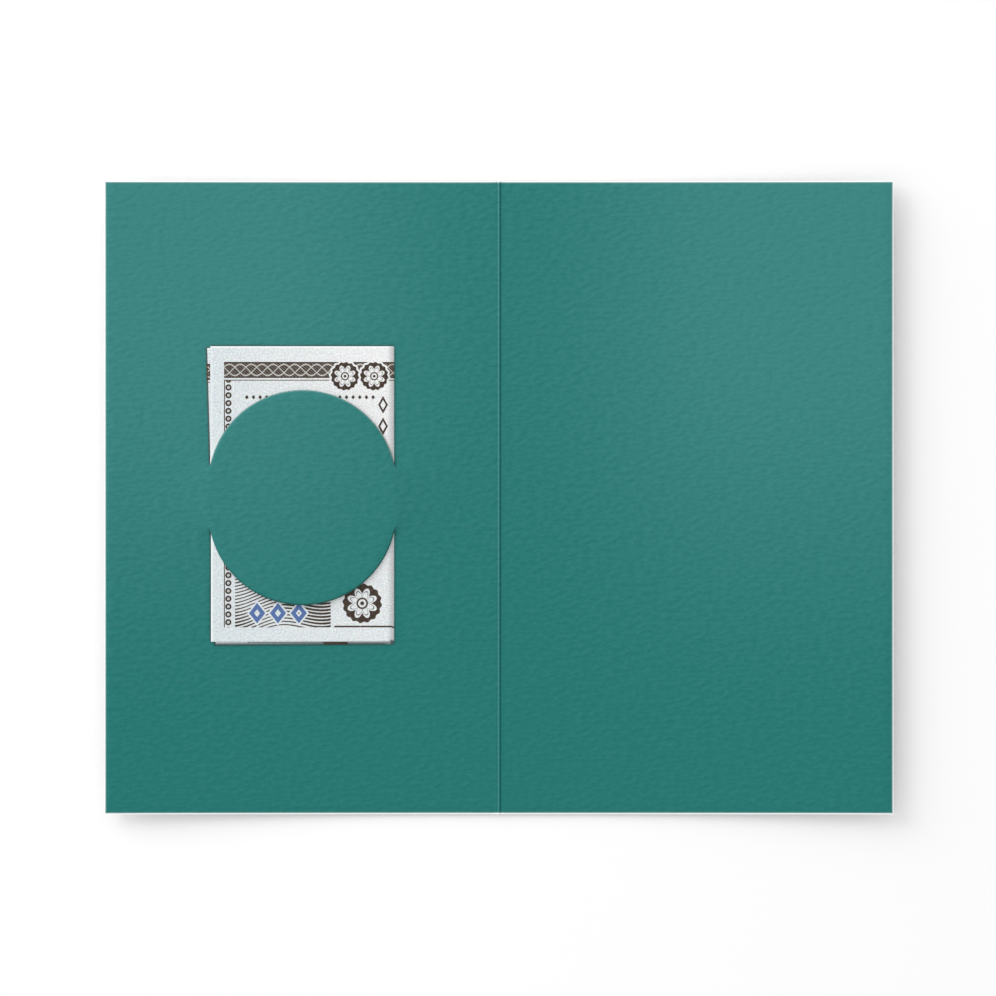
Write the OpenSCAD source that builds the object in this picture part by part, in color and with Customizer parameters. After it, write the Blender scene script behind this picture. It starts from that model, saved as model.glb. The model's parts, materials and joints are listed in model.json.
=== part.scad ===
// Folded greeting card that holds a folded banknote under a die-cut disc.
// The card lies open on a table with its inside up. The crease runs along Y,
// the front leaf lies at -X and the back leaf at +X, and the origin is the
// middle of the crease on the table. All sizes are in millimetres.

/* [Card] */
// Width of one leaf, from the crease to its outer edge
leaf_w = 88.9; // [80:0.1:110]
// Height of the card, along the crease
leaf_h = 142.2; // [100:0.1:180]
// Thickness of the card stock
stock_t = 0.35; // [0.3:0.05:0.6]
// How far the outer edge of each leaf curls up off the table
edge_lift = 3; // [0.5:0.1:3.2]
// Half width of the flat stretch on both sides of the crease that rests on the table
flat_half = 12; // [8:1:16]

/* [Crease] */
// Width of the scored strip that joins the two leaves
crease_w = 1.2; // [1:0.1:2]
// Width of the raised bead that the score leaves on the inside
bead_w = 0.9; // [0.5:0.1:0.9]
// Height of that bead
bead_h = 0.15; // [0.05:0.05:0.25]

/* [Holder disc] */
// Radius of the two die-cut arcs
arc_r = 21.15; // [20.5:0.05:24]
// Distance of each arc's centre from the middle of the disc, along the crease
arc_shift = 3.05; // [1:0.05:6]
// Half height of the two uncut necks that hold the disc
neck_half = 6.6; // [5:0.1:9]
// Length of the ramp by which each neck climbs over the note
ramp_len = 7; // [3:0.5:9]
// Width of a die-cut line
cut_w = 0.1; // [0.05:0.05:0.2]

/* [Banknote] */
// Height of the note, along the crease
note_h = 66.3; // [55:0.1:80]
// Length of the whole note when it is unfolded
note_l = 156; // [154:0.1:158]
// Thickness of the note's paper
note_t = 0.11; // [0.09:0.01:0.13]
// Air between two layers of the folded note
ply_gap = 0.02; // [0.02:0.01:0.06]
// Distance from the disc's middle to the note's outer fold
fold_reach = 20.8; // [20.2:0.05:21]
// Distance from the disc's middle to the front panel's free edge
free_reach = 20.6; // [20.2:0.05:21]
// How far the note sits above the disc's middle
note_rise = 0.7; // [0:0.05:3]
// How far the back layers are folded out of line, at the note's lower edge
misfold = 0.9; // [0.2:0.1:1]

/* [Hidden] */

// Colours of the printed stock, its score line and the banknote's paper
teal = [0.20, 0.49, 0.47];
dark_teal = [0.15, 0.42, 0.40];
note_white = [0.92, 0.93, 0.94];
note_grey = [0.82, 0.82, 0.80];

// Clearance between pieces that slide past or fold against each other
slide_gap = 0.05;
// Gap between a panel of the note and the fold that it runs into
join_gap = 0.02;
// Length of a cutter that passes through every layer
through = 20;
// Radius of the arc along which each leaf curls up, from the flat stretch to its outer edge
curl_w = leaf_w - flat_half;
curl_r = (pow(curl_w, 2) + pow(edge_lift, 2)) / (2 * edge_lift);

// Heights above the underside of the leaf
ply_pitch = note_t + ply_gap;
note_z = stock_t + slide_gap;
note_stack = 3 * ply_pitch + note_t;
disc_z = note_z + note_stack + slide_gap;

// The disc is centred on the front leaf
disc_x = -leaf_w / 2;
disc_r = arc_r - cut_w;
ramp_start = arc_r + slide_gap;
ramp_end = ramp_start + ramp_len;
ramp_cuts = 8;
band_cuts = 5;

// Height of the leaf's underside above the table at x
function lift(x) = curl_r - sqrt(pow(curl_r, 2) - pow(max(0, abs(x) - flat_half), 2));

// How far the holder's sheet stands above the leaf, s from the disc's middle along X
function disc_rise(s) = let (down = (abs(s) - ramp_start) / ramp_len)
    disc_z * (1 + cos(180 * min(1, max(0, down)))) / 2;

// Profile of a sheet between two places along X, its underside z_low above the leaf's own
module sheet_profile(from, to, z_low, thick) {
    tall = edge_lift + z_low + 2 * thick;
    intersection() {
        union() {
            translate([-flat_half, z_low]) square([2 * flat_half, thick]);
            for (side = [-1, 1]) intersection() {
                translate([side * flat_half, curl_r]) difference() {
                    circle(r = curl_r - z_low, $fn = 1440);
                    circle(r = curl_r - z_low - thick, $fn = 1440);
                }
                translate([side > 0 ? flat_half : -flat_half - leaf_w, 0]) square([leaf_w, tall]);
            }
        }
        translate([from, 0]) square([to - from, tall]);
    }
}

// A sheet that follows the curl of the leaf, centred on the X axis
module sheet(from, to, z_low, thick, length) {
    rotate([90, 0, 0]) linear_extrude(height = length, center = true)
        sheet_profile(from, to, z_low, thick);
}

// Outline of the disc: two arcs joined by short straight sides
module disc_outline(r) {
    translate([disc_x, 0]) {
        for (side = [-1, 1]) translate([0, side * arc_shift]) circle(r = r, $fn = 128);
        square([2 * r, 2 * arc_shift], center = true);
    }
}

// Footprint of the two necks and the band between them
module band_outline(half_length, half_height) {
    translate([disc_x, 0]) square([2 * half_length, 2 * half_height], center = true);
}

// Front leaf: the left half of the card, with the window that the disc is cut from
module front_leaf() {
    color(teal) difference() {
        sheet(-leaf_w, -crease_w / 2, 0, stock_t, leaf_h);
        linear_extrude(height = through, center = true) disc_outline(arc_r);
        linear_extrude(height = through, center = true) band_outline(ramp_end, neck_half);
    }
}

// Back leaf: the plain right half of the card
module back_leaf() {
    color(teal) sheet(crease_w / 2, leaf_w, 0, stock_t, leaf_h);
}

// Crease strip: the scored stretch between the leaves, with its bead on the inside
module crease_strip() {
    bead_r = (pow(bead_w / 2, 2) + pow(bead_h, 2)) / (2 * bead_h);
    color(dark_teal) rotate([90, 0, 0]) linear_extrude(height = leaf_h, center = true) {
        translate([-crease_w / 2, 0]) square([crease_w, stock_t]);
        intersection() {
            translate([0, stock_t + bead_h - bead_r]) circle(r = bead_r, $fn = 64);
            translate([-bead_w / 2, stock_t / 2]) square([bead_w, stock_t]);
        }
    }
}

// Holder band: the middle of the disc and the two necks that ease down into the leaf
module holder_band() {
    spans = concat([for (k = [ramp_cuts:-1:1]) -ramp_start - k * ramp_len / ramp_cuts],
                   [for (k = [-band_cuts:band_cuts]) k * ramp_start / band_cuts],
                   [for (k = [1:ramp_cuts]) ramp_start + k * ramp_len / ramp_cuts]);
    under = [for (s = spans) [disc_x + s, lift(disc_x + s) + disc_rise(s)]];
    over = [for (i = [len(under) - 1:-1:0]) under[i] + [0, stock_t]];
    color(teal) rotate([90, 0, 0])
        linear_extrude(height = 2 * (neck_half - slide_gap), center = true)
            polygon(concat(under, over));
}

// One free lobe of the disc, above the band (side 1) or below it (side -1)
module flap(side) {
    flap_start = neck_half + slide_gap;
    intersection() {
        sheet(disc_x - arc_r, disc_x + arc_r, disc_z, stock_t, 3 * arc_r);
        linear_extrude(height = through, center = true) intersection() {
            disc_outline(disc_r);
            translate([disc_x - arc_r, side > 0 ? flap_start : -flap_start - 2 * arc_r])
                square(2 * arc_r);
        }
    }
}

module upper_flap() {
    color(teal) flap(1);
}

module lower_flap() {
    color(teal) flap(-1);
}

// Where the note's panels run into its folds
outer_r = note_stack / 2;
inner_r = (2 * note_t + ply_gap) / 2;
fold_x = disc_x + fold_reach - outer_r;
panel_right = fold_x - join_gap;
free_x = disc_x - free_reach;
note_top = note_rise + note_h / 2;
note_foot = note_rise - note_h / 2;

// The note was folded a little out of square: how far each layer's corners are off
skew = 0.1;
back_drop = 2 * misfold / 3;

// The first fold leans, so the back layers stand out past the free edge at the top
centre_top = [free_x - misfold, note_top - misfold + skew];
centre_foot = [free_x + misfold + back_drop / 2, note_foot - misfold];
centre_lean = atan2(centre_foot[0] - centre_top[0], centre_top[1] - centre_foot[1]);

// One layer of the note: ply 0 is against the leaf and ply 3 is the one in sight
module panel(ply, outline) {
    intersection() {
        sheet(disc_x - ramp_end, disc_x + ramp_end, note_z + ply * ply_pitch, note_t, 2 * note_h);
        linear_extrude(height = through, center = true) polygon(outline);
    }
}

// What is left of the note's length for the tucked panel, once the others and the folds are taken
centre_edge = (centre_top[0] + centre_foot[0]) / 2 + inner_r + join_gap;
bend_l = PI * (outer_r - note_t / 2) + 2 * PI * (inner_r - note_t / 2);
tucked_w = note_l - (panel_right - free_x) - 2 * (panel_right - centre_edge) - bend_l;
tucked_x = panel_right - tucked_w;

// The two layers that meet at the first fold share this outline
centre_outline = [
    [centre_top[0] + inner_r + join_gap, centre_top[1]],
    [panel_right, note_top - skew],
    [panel_right, note_foot - back_drop],
    [centre_foot[0] + inner_r + join_gap, centre_foot[1]]];

// Front panel: the layer in sight, from its free edge to the outer fold
module note_front_panel() {
    color(note_white) panel(3, [
        [free_x + skew, note_top], [panel_right, note_top],
        [panel_right, note_foot], [free_x - skew, note_foot]]);
}

// Tucked panel: the other end of the note, folded in behind the front panel
module note_tucked_panel() {
    color(note_white) panel(2, [
        [tucked_x, note_top - 3 * skew], [panel_right, note_top - 2 * skew],
        [panel_right, note_foot - back_drop / 2], [tucked_x, note_foot - 2 * skew]]);
}

// Middle panel: between the inner fold and the centre fold
module note_middle_panel() {
    color(note_grey) panel(1, centre_outline);
}

// Back panel: the layer that lies on the leaf and shows through its window
module note_back_panel() {
    color(note_grey) panel(0, centre_outline);
}

// Half of a tube along +Y that opens towards -X, which is one fold of paper
module half_fold(outer, length) {
    rotate([-90, 0, 0]) linear_extrude(height = length) difference() {
        circle(r = outer, $fn = 32);
        circle(r = outer - note_t, $fn = 32);
        translate([-2 * outer, -outer]) square([2 * outer, 2 * outer]);
    }
}

stack_middle = note_z + note_stack / 2;

// Outer fold: joins the front panel to the back panel
module note_outer_fold() {
    foot = note_foot - back_drop / 2;
    color(note_white) translate([fold_x, foot, stack_middle + lift(fold_x)])
        half_fold(outer_r, note_top - foot);
}

// Inner fold: joins the tucked panel to the middle panel, inside the outer fold
module note_inner_fold() {
    foot = note_foot - back_drop / 2;
    color(note_white) translate([fold_x, foot, stack_middle + lift(fold_x)])
        half_fold(inner_r, note_top - 2 * skew - foot);
}

// Centre fold: joins the middle panel to the back panel, at the edge that leans out
module note_centre_fold() {
    axis_top = [centre_top[0] + inner_r, centre_top[1]];
    axis_foot = [centre_foot[0] + inner_r, centre_foot[1]];
    middle = note_z + inner_r;
    drop = lift(axis_top[0]) - lift(axis_foot[0]);
    span = norm(axis_top - axis_foot);
    color(note_grey) translate([axis_foot[0], axis_foot[1], middle + lift(axis_foot[0])])
        rotate([atan2(drop, span), 0, centre_lean])
            mirror([1, 0, 0]) half_fold(inner_r, span);
}

front_leaf();
back_leaf();
crease_strip();
holder_band();
upper_flap();
lower_flap();
note_front_panel();
note_tucked_panel();
note_middle_panel();
note_back_panel();
note_outer_fold();
note_inner_fold();
note_centre_fold();
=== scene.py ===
"""Looks of a folded card that lies open and holds a folded banknote under its die-cut disc.

Lengths are in millimetres up to the moment a mesh is made, which turns them into metres.
Every surface carries a UV map in millimetres of flat paper, so its pattern stays with it
when the card closes, a lobe lifts or the note slides.
"""

import json
import math

import bpy
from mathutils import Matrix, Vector, geometry

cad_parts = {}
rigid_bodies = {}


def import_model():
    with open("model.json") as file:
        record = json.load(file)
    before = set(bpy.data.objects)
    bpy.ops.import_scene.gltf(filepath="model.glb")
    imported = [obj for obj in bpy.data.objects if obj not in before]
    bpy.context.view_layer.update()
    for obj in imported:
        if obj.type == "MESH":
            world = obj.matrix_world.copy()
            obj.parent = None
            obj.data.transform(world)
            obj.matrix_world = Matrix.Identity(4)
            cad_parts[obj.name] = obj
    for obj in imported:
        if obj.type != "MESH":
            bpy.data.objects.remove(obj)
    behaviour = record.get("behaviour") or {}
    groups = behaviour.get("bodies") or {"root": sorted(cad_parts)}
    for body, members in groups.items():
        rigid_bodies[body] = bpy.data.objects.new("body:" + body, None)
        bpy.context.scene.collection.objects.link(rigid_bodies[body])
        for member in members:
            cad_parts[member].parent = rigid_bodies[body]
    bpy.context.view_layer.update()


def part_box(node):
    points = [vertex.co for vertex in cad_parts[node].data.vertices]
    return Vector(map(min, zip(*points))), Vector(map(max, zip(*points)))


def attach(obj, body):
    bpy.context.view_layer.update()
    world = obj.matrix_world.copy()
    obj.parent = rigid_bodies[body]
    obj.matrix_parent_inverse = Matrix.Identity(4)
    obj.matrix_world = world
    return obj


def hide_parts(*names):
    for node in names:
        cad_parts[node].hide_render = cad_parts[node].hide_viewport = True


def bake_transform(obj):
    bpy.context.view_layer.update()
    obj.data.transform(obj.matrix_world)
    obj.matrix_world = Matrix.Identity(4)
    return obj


METRE = 0.001  # one millimetre in metres
FLAT_MAP = "flat"
NEAR_ZERO = 1e-6

for leftover in list(bpy.data.objects):
    bpy.data.objects.remove(leftover)
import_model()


def node_box(node):
    """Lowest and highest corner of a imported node, in millimetres."""
    low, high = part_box(node)
    return low / METRE, high / METRE


# Card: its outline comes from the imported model, and the radius of its curl from the other sizes
leaf_low, leaf_high = node_box("front_leaf")
EDGE_X = -leaf_low.x
HALF_H = leaf_high.y
STOCK = 0.35
FLAT_HALF = 12
EDGE_LIFT = 3
CURL_R = ((EDGE_X - FLAT_HALF) ** 2 + EDGE_LIFT ** 2) / (2 * EDGE_LIFT)

# Holder disc: two die-cut arcs, and the necks between their ends
band_low, band_high = node_box("holder_band")
DISC_SHIFT = 0.07
DISC_X = (band_low.x + band_high.x) / 2 + DISC_SHIFT
ARC_R = 21.26
ARC_SHIFT = 3.05
NECK_HALF = 6.6
NECK_RUN = 21  # length over which a raised neck eases down into the leaf
TIP_X = math.sqrt(ARC_R ** 2 - (NECK_HALF - ARC_SHIFT) ** 2)
TIP_FIRST = NECK_HALF + 0.05
TIP_STEP = 0.3
TIP_STEPS = [TIP_FIRST + TIP_STEP * i for i in range(5)]
TIP_FADE = 0.6  # height over which the worn corner of a cut starts at the slit's tip
CUT = 0.02
CUT_RIM = 0.25
CUT_DROP = 0.07
LOBE_SPRING = 0.45

# Banknote: a sheet folded in four, lowest layer first
NOTE_L = 156
NOTE_H = 66.3
NOTE_T = 0.105
PLY_PITCH = 0.115
LAYER_GAP = 0.02
NOTE_Z = STOCK + LAYER_GAP
DISC_RISE = NOTE_Z + 3 * PLY_PITCH + NOTE_T + LAYER_GAP

# Crease: the inside face's profile across it, a ridge with a valley beside it, and the score outside
CREASE_PROFILE = [(-0.7, 0), (-0.4, -0.04), (0.08, 0.19), (0.33, -0.15), (0.43, -0.14),
                  (0.66, 0), (0.88, 0.02), (1.15, 0)]
VALLEY_X = 0.34
RIDGE_X = -0.1
SCORE_HALF = 0.45
SCORE_D = 0.06

# Outer cut edges: the white core shows as a narrow rim round the printed face
FACE_X = EDGE_X - 0.06
FACE_H = HALF_H + 0.15
RIM_X = 0.16
RIM_H = 0.24
EDGE_DROP = 0.06
SHEET_X = FACE_X + RIM_X
SHEET_H = FACE_H + RIM_H


def smooth(share):
    """Ease from 0 to 1."""
    share = min(1, max(0, share))
    return share * share * (3 - 2 * share)


def between(share, first, last):
    """Value at a share of the way from first to last."""
    return first + (last - first) * share


def lift(x):
    """Height of a leaf's underside above the table."""
    past = max(0, abs(x) - FLAT_HALF)
    return CURL_R - math.sqrt(CURL_R ** 2 - past ** 2)


def neck_rise(x, y):
    """How far the band is raised, and the leaf beside it: by the angle that the neck fills there.

    The neck's half width is taken in a few steps, which spread the twist at the slit's tip.
    """
    out = max(NEAR_ZERO, abs(x - DISC_X) - TIP_X)
    angles = [math.atan2(half - y, out) + math.atan2(half + y, out) for half in TIP_STEPS]
    return DISC_RISE * sum(angles) / (len(angles) * math.pi) * (1 - smooth(out / NECK_RUN))


def disc_distance(x, y, radius):
    """Distance outside the disc's outline of two arcs, negative inside it."""
    return math.hypot(x - DISC_X, max(0, abs(y) - ARC_SHIFT)) - radius


def crease_profile(x):
    """Height that the crease adds to the inside face."""
    for (left, low), (right, high) in zip(CREASE_PROFILE, CREASE_PROFILE[1:]):
        if left <= x < right:
            return between(smooth((x - left) / (right - left)), low, high)
    return 0


def score(x):
    """Depth of the score's groove in the outside face."""
    if abs(x) >= SCORE_HALF:
        return 0
    return SCORE_D * math.cos(math.pi * x / (2 * SCORE_HALF)) ** 2


# Flat outlines and points


def straight(start, end, step):
    """Points from start up to, but without, end."""
    count = max(1, round((Vector(end) - Vector(start)).length / step))
    return [tuple(Vector(start).lerp(Vector(end), i / count)) for i in range(count)]


def through(corners, step):
    """Open line through corners, with a point every step."""
    points = []
    for start, end in zip(corners, corners[1:]):
        points += straight(start, end, step)
    return points + [corners[-1]]


def polygon(corners, step):
    """Closed outline with a point every step."""
    return through([*corners, corners[0]], step)[:-1]


def arc_points(side, radius, from_y, step):
    """Points of one of the disc's arcs, from its right end to its left one."""
    start = math.asin((from_y - ARC_SHIFT) / radius)
    count = round(radius * (math.pi - 2 * start) / step)
    turns = [between(i / count, start, math.pi - start) for i in range(count + 1)]
    return [(DISC_X + radius * math.cos(turn), side * (ARC_SHIFT + radius * math.sin(turn)))
            for turn in turns]


def half_moon(side, radius, step):
    """Closed outline of one lobe: its arc and the straight line where it joins the band."""
    arc = arc_points(side, radius, NECK_HALF, step)
    return arc + straight(arc[-1], arc[0], step)[1:]


def grid(low, high, step, keep):
    """Points of a staggered grid between two corners, where keep says so."""
    points = []
    rows = int((high[1] - low[1]) / step)
    columns = int((high[0] - low[0]) / step)
    for row in range(rows + 1):
        for column in range(columns + 1):
            x = low[0] + (column + 0.5 * (row % 2)) * step
            y = low[1] + row * step
            if low[0] < x < high[0] and low[1] < y < high[1] and keep(x, y):
                points.append((x, y))
    return points


MERGE = 1e-5  # distance below which two points of an outline count as one


def triangulate(loops, lines, points, inside):
    """Triangles over closed loops, open lines and loose points, kept where inside says so."""
    corners, edges = [], []
    for path, closed in [(loop, True) for loop in loops] + [(line, False) for line in lines]:
        first = len(corners)
        corners += path
        last = len(corners) - 1
        edges += [(i, i + 1) for i in range(first, last)]
        if closed:
            edges.append((last, first))
    corners += points
    found, _, faces, *_ = geometry.delaunay_2d_cdt([Vector(c) for c in corners], edges, [], 0, MERGE)
    kept = []
    for face in faces:
        a, b, c = (found[i] for i in face)
        middle = (a + b + c) / 3
        if inside(middle.x, middle.y):
            turned = (b - a).cross(c - a)
            kept.append(tuple(face) if turned > 0 else tuple(reversed(face)))
    return [(p.x, p.y) for p in found], kept


def finish_mesh(name, corners, faces, materials, face_materials, uvs, sharp):
    """An object from millimetre corners, smooth up to the sharp angle, with the flat UV map."""
    mesh = bpy.data.meshes.new(name)
    mesh.from_pydata([Vector(c) * METRE for c in corners], [], faces)
    for material in materials:
        mesh.materials.append(material)
    mesh.polygons.foreach_set("material_index", face_materials)
    layer = mesh.uv_layers.new(name=FLAT_MAP)
    layer.data.foreach_set("uv", [value for uv in uvs for value in uv])
    mesh.polygons.foreach_set("use_smooth", [True] * len(faces))
    mesh.set_sharp_from_angle(angle=math.radians(sharp))
    mesh.validate()
    piece = bpy.data.objects.new(name, mesh)
    bpy.context.scene.collection.objects.link(piece)
    return piece


# Numbers that flow through a material's nodes


class Wire:
    """A number that flows through a material's nodes, so that patterns read as arithmetic."""

    def __init__(self, tree, socket):
        self.tree = tree
        self.socket = socket

    def math(self, operation, *others):
        """This number and others through one Math node."""
        node = self.tree.nodes.new("ShaderNodeMath")
        node.operation = operation
        for place, value in enumerate((self, *others)):
            feed(self.tree, value, node.inputs[place])
        return Wire(self.tree, node.outputs[0])

    def __add__(self, other):
        return self.math("ADD", other)

    def __sub__(self, other):
        return self.math("SUBTRACT", other)

    def __rsub__(self, other):
        return self.math("MULTIPLY_ADD", -1, other)

    def __mul__(self, other):
        return self.math("MULTIPLY", other)

    def __truediv__(self, other):
        return self.math("DIVIDE", other)

    def abs(self):
        return self.math("ABSOLUTE")

    def sin(self):
        return self.math("SINE")

    def above(self, limit):
        return self.math("GREATER_THAN", limit)

    def upto(self, other):
        return self.math("MINIMUM", other)

    def atleast(self, other):
        return self.math("MAXIMUM", other)

    def mirrored(self, length):
        """This number folded back and forth between 0 and a length."""
        return self.math("PINGPONG", length)

    def cell(self, pitch):
        """Distance from the middle of a repeating cell."""
        return ((self / pitch).math("FRACT") - 0.5) * pitch


def feed(tree, value, socket):
    """Link a wire to a socket, or set the socket to a plain value."""
    if isinstance(value, Wire):
        tree.links.new(value.socket, socket)
    else:
        socket.default_value = value


def eased(value, low, high):
    """0 below low, 1 above high, and a smooth step between them."""
    node = value.tree.nodes.new("ShaderNodeMapRange")
    node.interpolation_type = "SMOOTHSTEP"
    feed(value.tree, value, node.inputs["Value"])
    feed(value.tree, low, node.inputs["From Min"])
    feed(value.tree, high, node.inputs["From Max"])
    return Wire(value.tree, node.outputs["Result"])


def fading(value, low, high):
    """1 below low, 0 above high, and a smooth step between them."""
    return 1 - eased(value, low, high)


def stroke(distance, width, soft=0.04):
    """1 on a line of that width where the distance from it is zero."""
    return fading(distance.abs(), width / 2 - soft, width / 2 + soft)


def filled(distance, soft=0.04):
    """1 inside a shape, where the distance outside it is below zero."""
    return fading(distance, -soft, soft)


def most(wires):
    """The largest of several numbers."""
    found, *others = wires
    for other in others:
        found = found.atleast(other)
    return found


def hypot(a, b):
    """Length of a diagonal."""
    return (a * a + b * b).math("SQRT")


def waving(value, turn, swing, phase=0.0):
    """A sine wave along a value, with its turn in radians per unit."""
    return (value * turn + phase).sin() * swing


def flat_place(tree):
    """The flat UV map's two coordinates, in millimetres."""
    uv = tree.nodes.new("ShaderNodeUVMap")
    uv.uv_map = FLAT_MAP
    apart = tree.nodes.new("ShaderNodeSeparateXYZ")
    tree.links.new(uv.outputs["UV"], apart.inputs[0])
    return Wire(tree, apart.outputs["X"]), Wire(tree, apart.outputs["Y"])


def noise(x, y, scale, detail=2.0, roughness=0.5, output="Fac"):
    """Noise from 0 to 1, with a pattern about 1/scale millimetres wide."""
    tree = x.tree
    together = tree.nodes.new("ShaderNodeCombineXYZ")
    feed(tree, x, together.inputs[0])
    feed(tree, y, together.inputs[1])
    node = tree.nodes.new("ShaderNodeTexNoise")
    node.inputs["Scale"].default_value = scale
    node.inputs["Detail"].default_value = detail
    node.inputs["Roughness"].default_value = roughness
    tree.links.new(together.outputs[0], node.inputs["Vector"])
    return Wire(tree, node.outputs[output])


def mixed(node, first, last):
    """Feed a Mix node its two colours, and give its result."""
    for name, colour in (("A", first), ("B", last)):
        socket = next(s for s in node.inputs if s.name == name and s.type == "RGBA")
        feed(node.id_data, colour, socket)
    return Wire(node.id_data, next(s for s in node.outputs if s.type == "RGBA"))


def coloured(tree, share, first, last):
    """A colour between two others."""
    node = tree.nodes.new("ShaderNodeMix")
    node.data_type = "RGBA"
    feed(tree, share, node.inputs["Factor"])
    return mixed(node, first, last)


def linear(red, green, blue):
    """A colour given as 8-bit sRGB, as Blender's linear RGBA, by the standard's own curve."""
    values = []
    for channel in (red, green, blue):
        share = channel / 255
        values.append(share / 12.92 if share <= 0.04045 else ((share + 0.055) / 1.055) ** 2.4)
    return (*values, 1)


def paper_shader(name, roughness, specular):
    """A new material with its shader's constants set, and its node tree."""
    material = bpy.data.materials.new(name)
    material.use_nodes = True
    tree = material.node_tree
    shader = tree.nodes["Principled BSDF"]
    shader.inputs["Roughness"].default_value = roughness
    shader.inputs["Specular IOR Level"].default_value = specular
    return material, tree, shader


def bump(tree, shader, height, strength, distance):
    """Relief from a height in millimetres."""
    node = tree.nodes.new("ShaderNodeBump")
    node.inputs["Strength"].default_value = strength
    node.inputs["Distance"].default_value = distance * METRE
    feed(tree, height, node.inputs["Height"])
    tree.links.new(node.outputs["Normal"], shader.inputs["Normal"])


# Card stock: teal ink, the white core where it was cut, and the bare outside

PRINTED, CORE, BARE = 0, 1, 2  # places of the card's materials on its sheets

# Felt marks: their squeeze sideways, their number per millimetre and their depth
FELT_STRETCH = 0.56
FELT_SCALE = 1.03
FELT_DEPTH = 0.24

# Teal: its two ends, the painted sheen and shade that turns from one to the other, paler towards the
# upper outer corners and darker at the crease and the foot, and how far the paper sways it
TEAL_DEEP = linear(25, 111, 106)
TEAL_PALE = linear(52, 125, 122)
SHEEN_HALF_W = 59
SHEEN_FOOT = -56
SHEEN_TOP = 40
SHEEN_STEADY = 0.2  # share of the rise that climbs evenly from the foot, where the rest eases in
SHEEN_MIDDLE = 0.32
SHEEN_SIDES = 0.64
SHEEN_LOW_SIDES = 0.03
FELT_SWAY = 0.80
FIBRE_SWAY = 0.40

# Crease: painted shade in its valley, and a trace of wear on its ridge
CREASE_SHADE_TEAL = linear(7, 106, 102)
VALLEY_W = 0.3
VALLEY_SHADE = 0.65
RIDGE_W = 0.4
RIDGE_WORN = 0.02
CREASE_SOFT = 0.1

# Edges of the ink, worn down to the core, the disc's upper edge, worn and with a painted highlight,
# and its edge away from the light, in painted shade
CORE_WHITE = (0.92, 0.95, 0.95, 1)
TEAL_SHADE = linear(20, 62, 58)
EDGE_WORN = 0.26
EDGE_WORN_W = 0.35
DISC_WEAR_AND_HIGHLIGHT = 0.14
DISC_WEAR_AND_HIGHLIGHT_STRIP = (-0.45, -0.05)
DISC_WEAR_AND_HIGHLIGHT_RISE = 3
DISC_SHADED = 0.7
DISC_SHADED_STRIP = (-0.5, -0.15)
DISC_SHADED_SIDE = (-22, 26)
DISC_SHADED_RISE = 1.5

# White core and bare outside
CORE_DULL = (0.88, 0.92, 0.92, 1)
CORE_BRIGHT = (0.96, 0.97, 0.97, 1)
CORE_SLANT = 0.3
BARE_DULL = (0.80, 0.80, 0.79, 1)
BARE_BRIGHT = (0.88, 0.88, 0.87, 1)
BARE_FELT_SWAY = 0.4
BARE_FIBRE_SWAY = 0.5

# Share of the felt marks' depth that the fibres stand up, on the ink and on the bare outside
INK_NAP = 0.05
BARE_NAP = 0.08


def felt(x, y):
    """Relief of felt-marked stock: low wavelets, longer across the leaf than along it."""
    return noise(x * FELT_STRETCH, y, FELT_SCALE, detail=1.0, roughness=0.4)


def painted_sheen_and_shade(x, y):
    """Share of the paler teal, a painted sheen and shade: paler towards the upper outer corners,
    darker at the crease and the foot.
    """
    sideways = eased(x.abs(), 0, SHEEN_HALF_W)
    climb = (y + HALF_H) / (SHEEN_TOP + HALF_H)
    upright = (eased(y, SHEEN_FOOT, SHEEN_TOP) * (1 - SHEEN_STEADY) + climb * SHEEN_STEADY).upto(1)
    return upright * (sideways * SHEEN_SIDES + SHEEN_MIDDLE) + sideways * SHEEN_LOW_SIDES


def disc_edge(x, y):
    """Shares of wear with a painted highlight along the disc's upper edge, and of painted shade along
    its lower right one.
    """
    disc = hypot(x - DISC_X, (y.abs() - ARC_SHIFT).atleast(0)) - ARC_R
    inside = filled(disc, soft=0.01)
    upper = eased(y, NECK_HALF, NECK_HALF + DISC_WEAR_AND_HIGHLIGHT_RISE)
    far_side = eased(x - DISC_X - y, *DISC_SHADED_SIDE)
    past_neck = eased(y.abs(), NECK_HALF, NECK_HALF + DISC_SHADED_RISE)
    # wear and painted highlight: lighter along the upper edge only, the side towards the light
    wear_and_highlight = eased(disc, *DISC_WEAR_AND_HIGHLIGHT_STRIP) * inside * upper
    shade = eased(disc, *DISC_SHADED_STRIP) * inside * far_side * past_neck
    return wear_and_highlight * DISC_WEAR_AND_HIGHLIGHT, shade * DISC_SHADED


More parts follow.
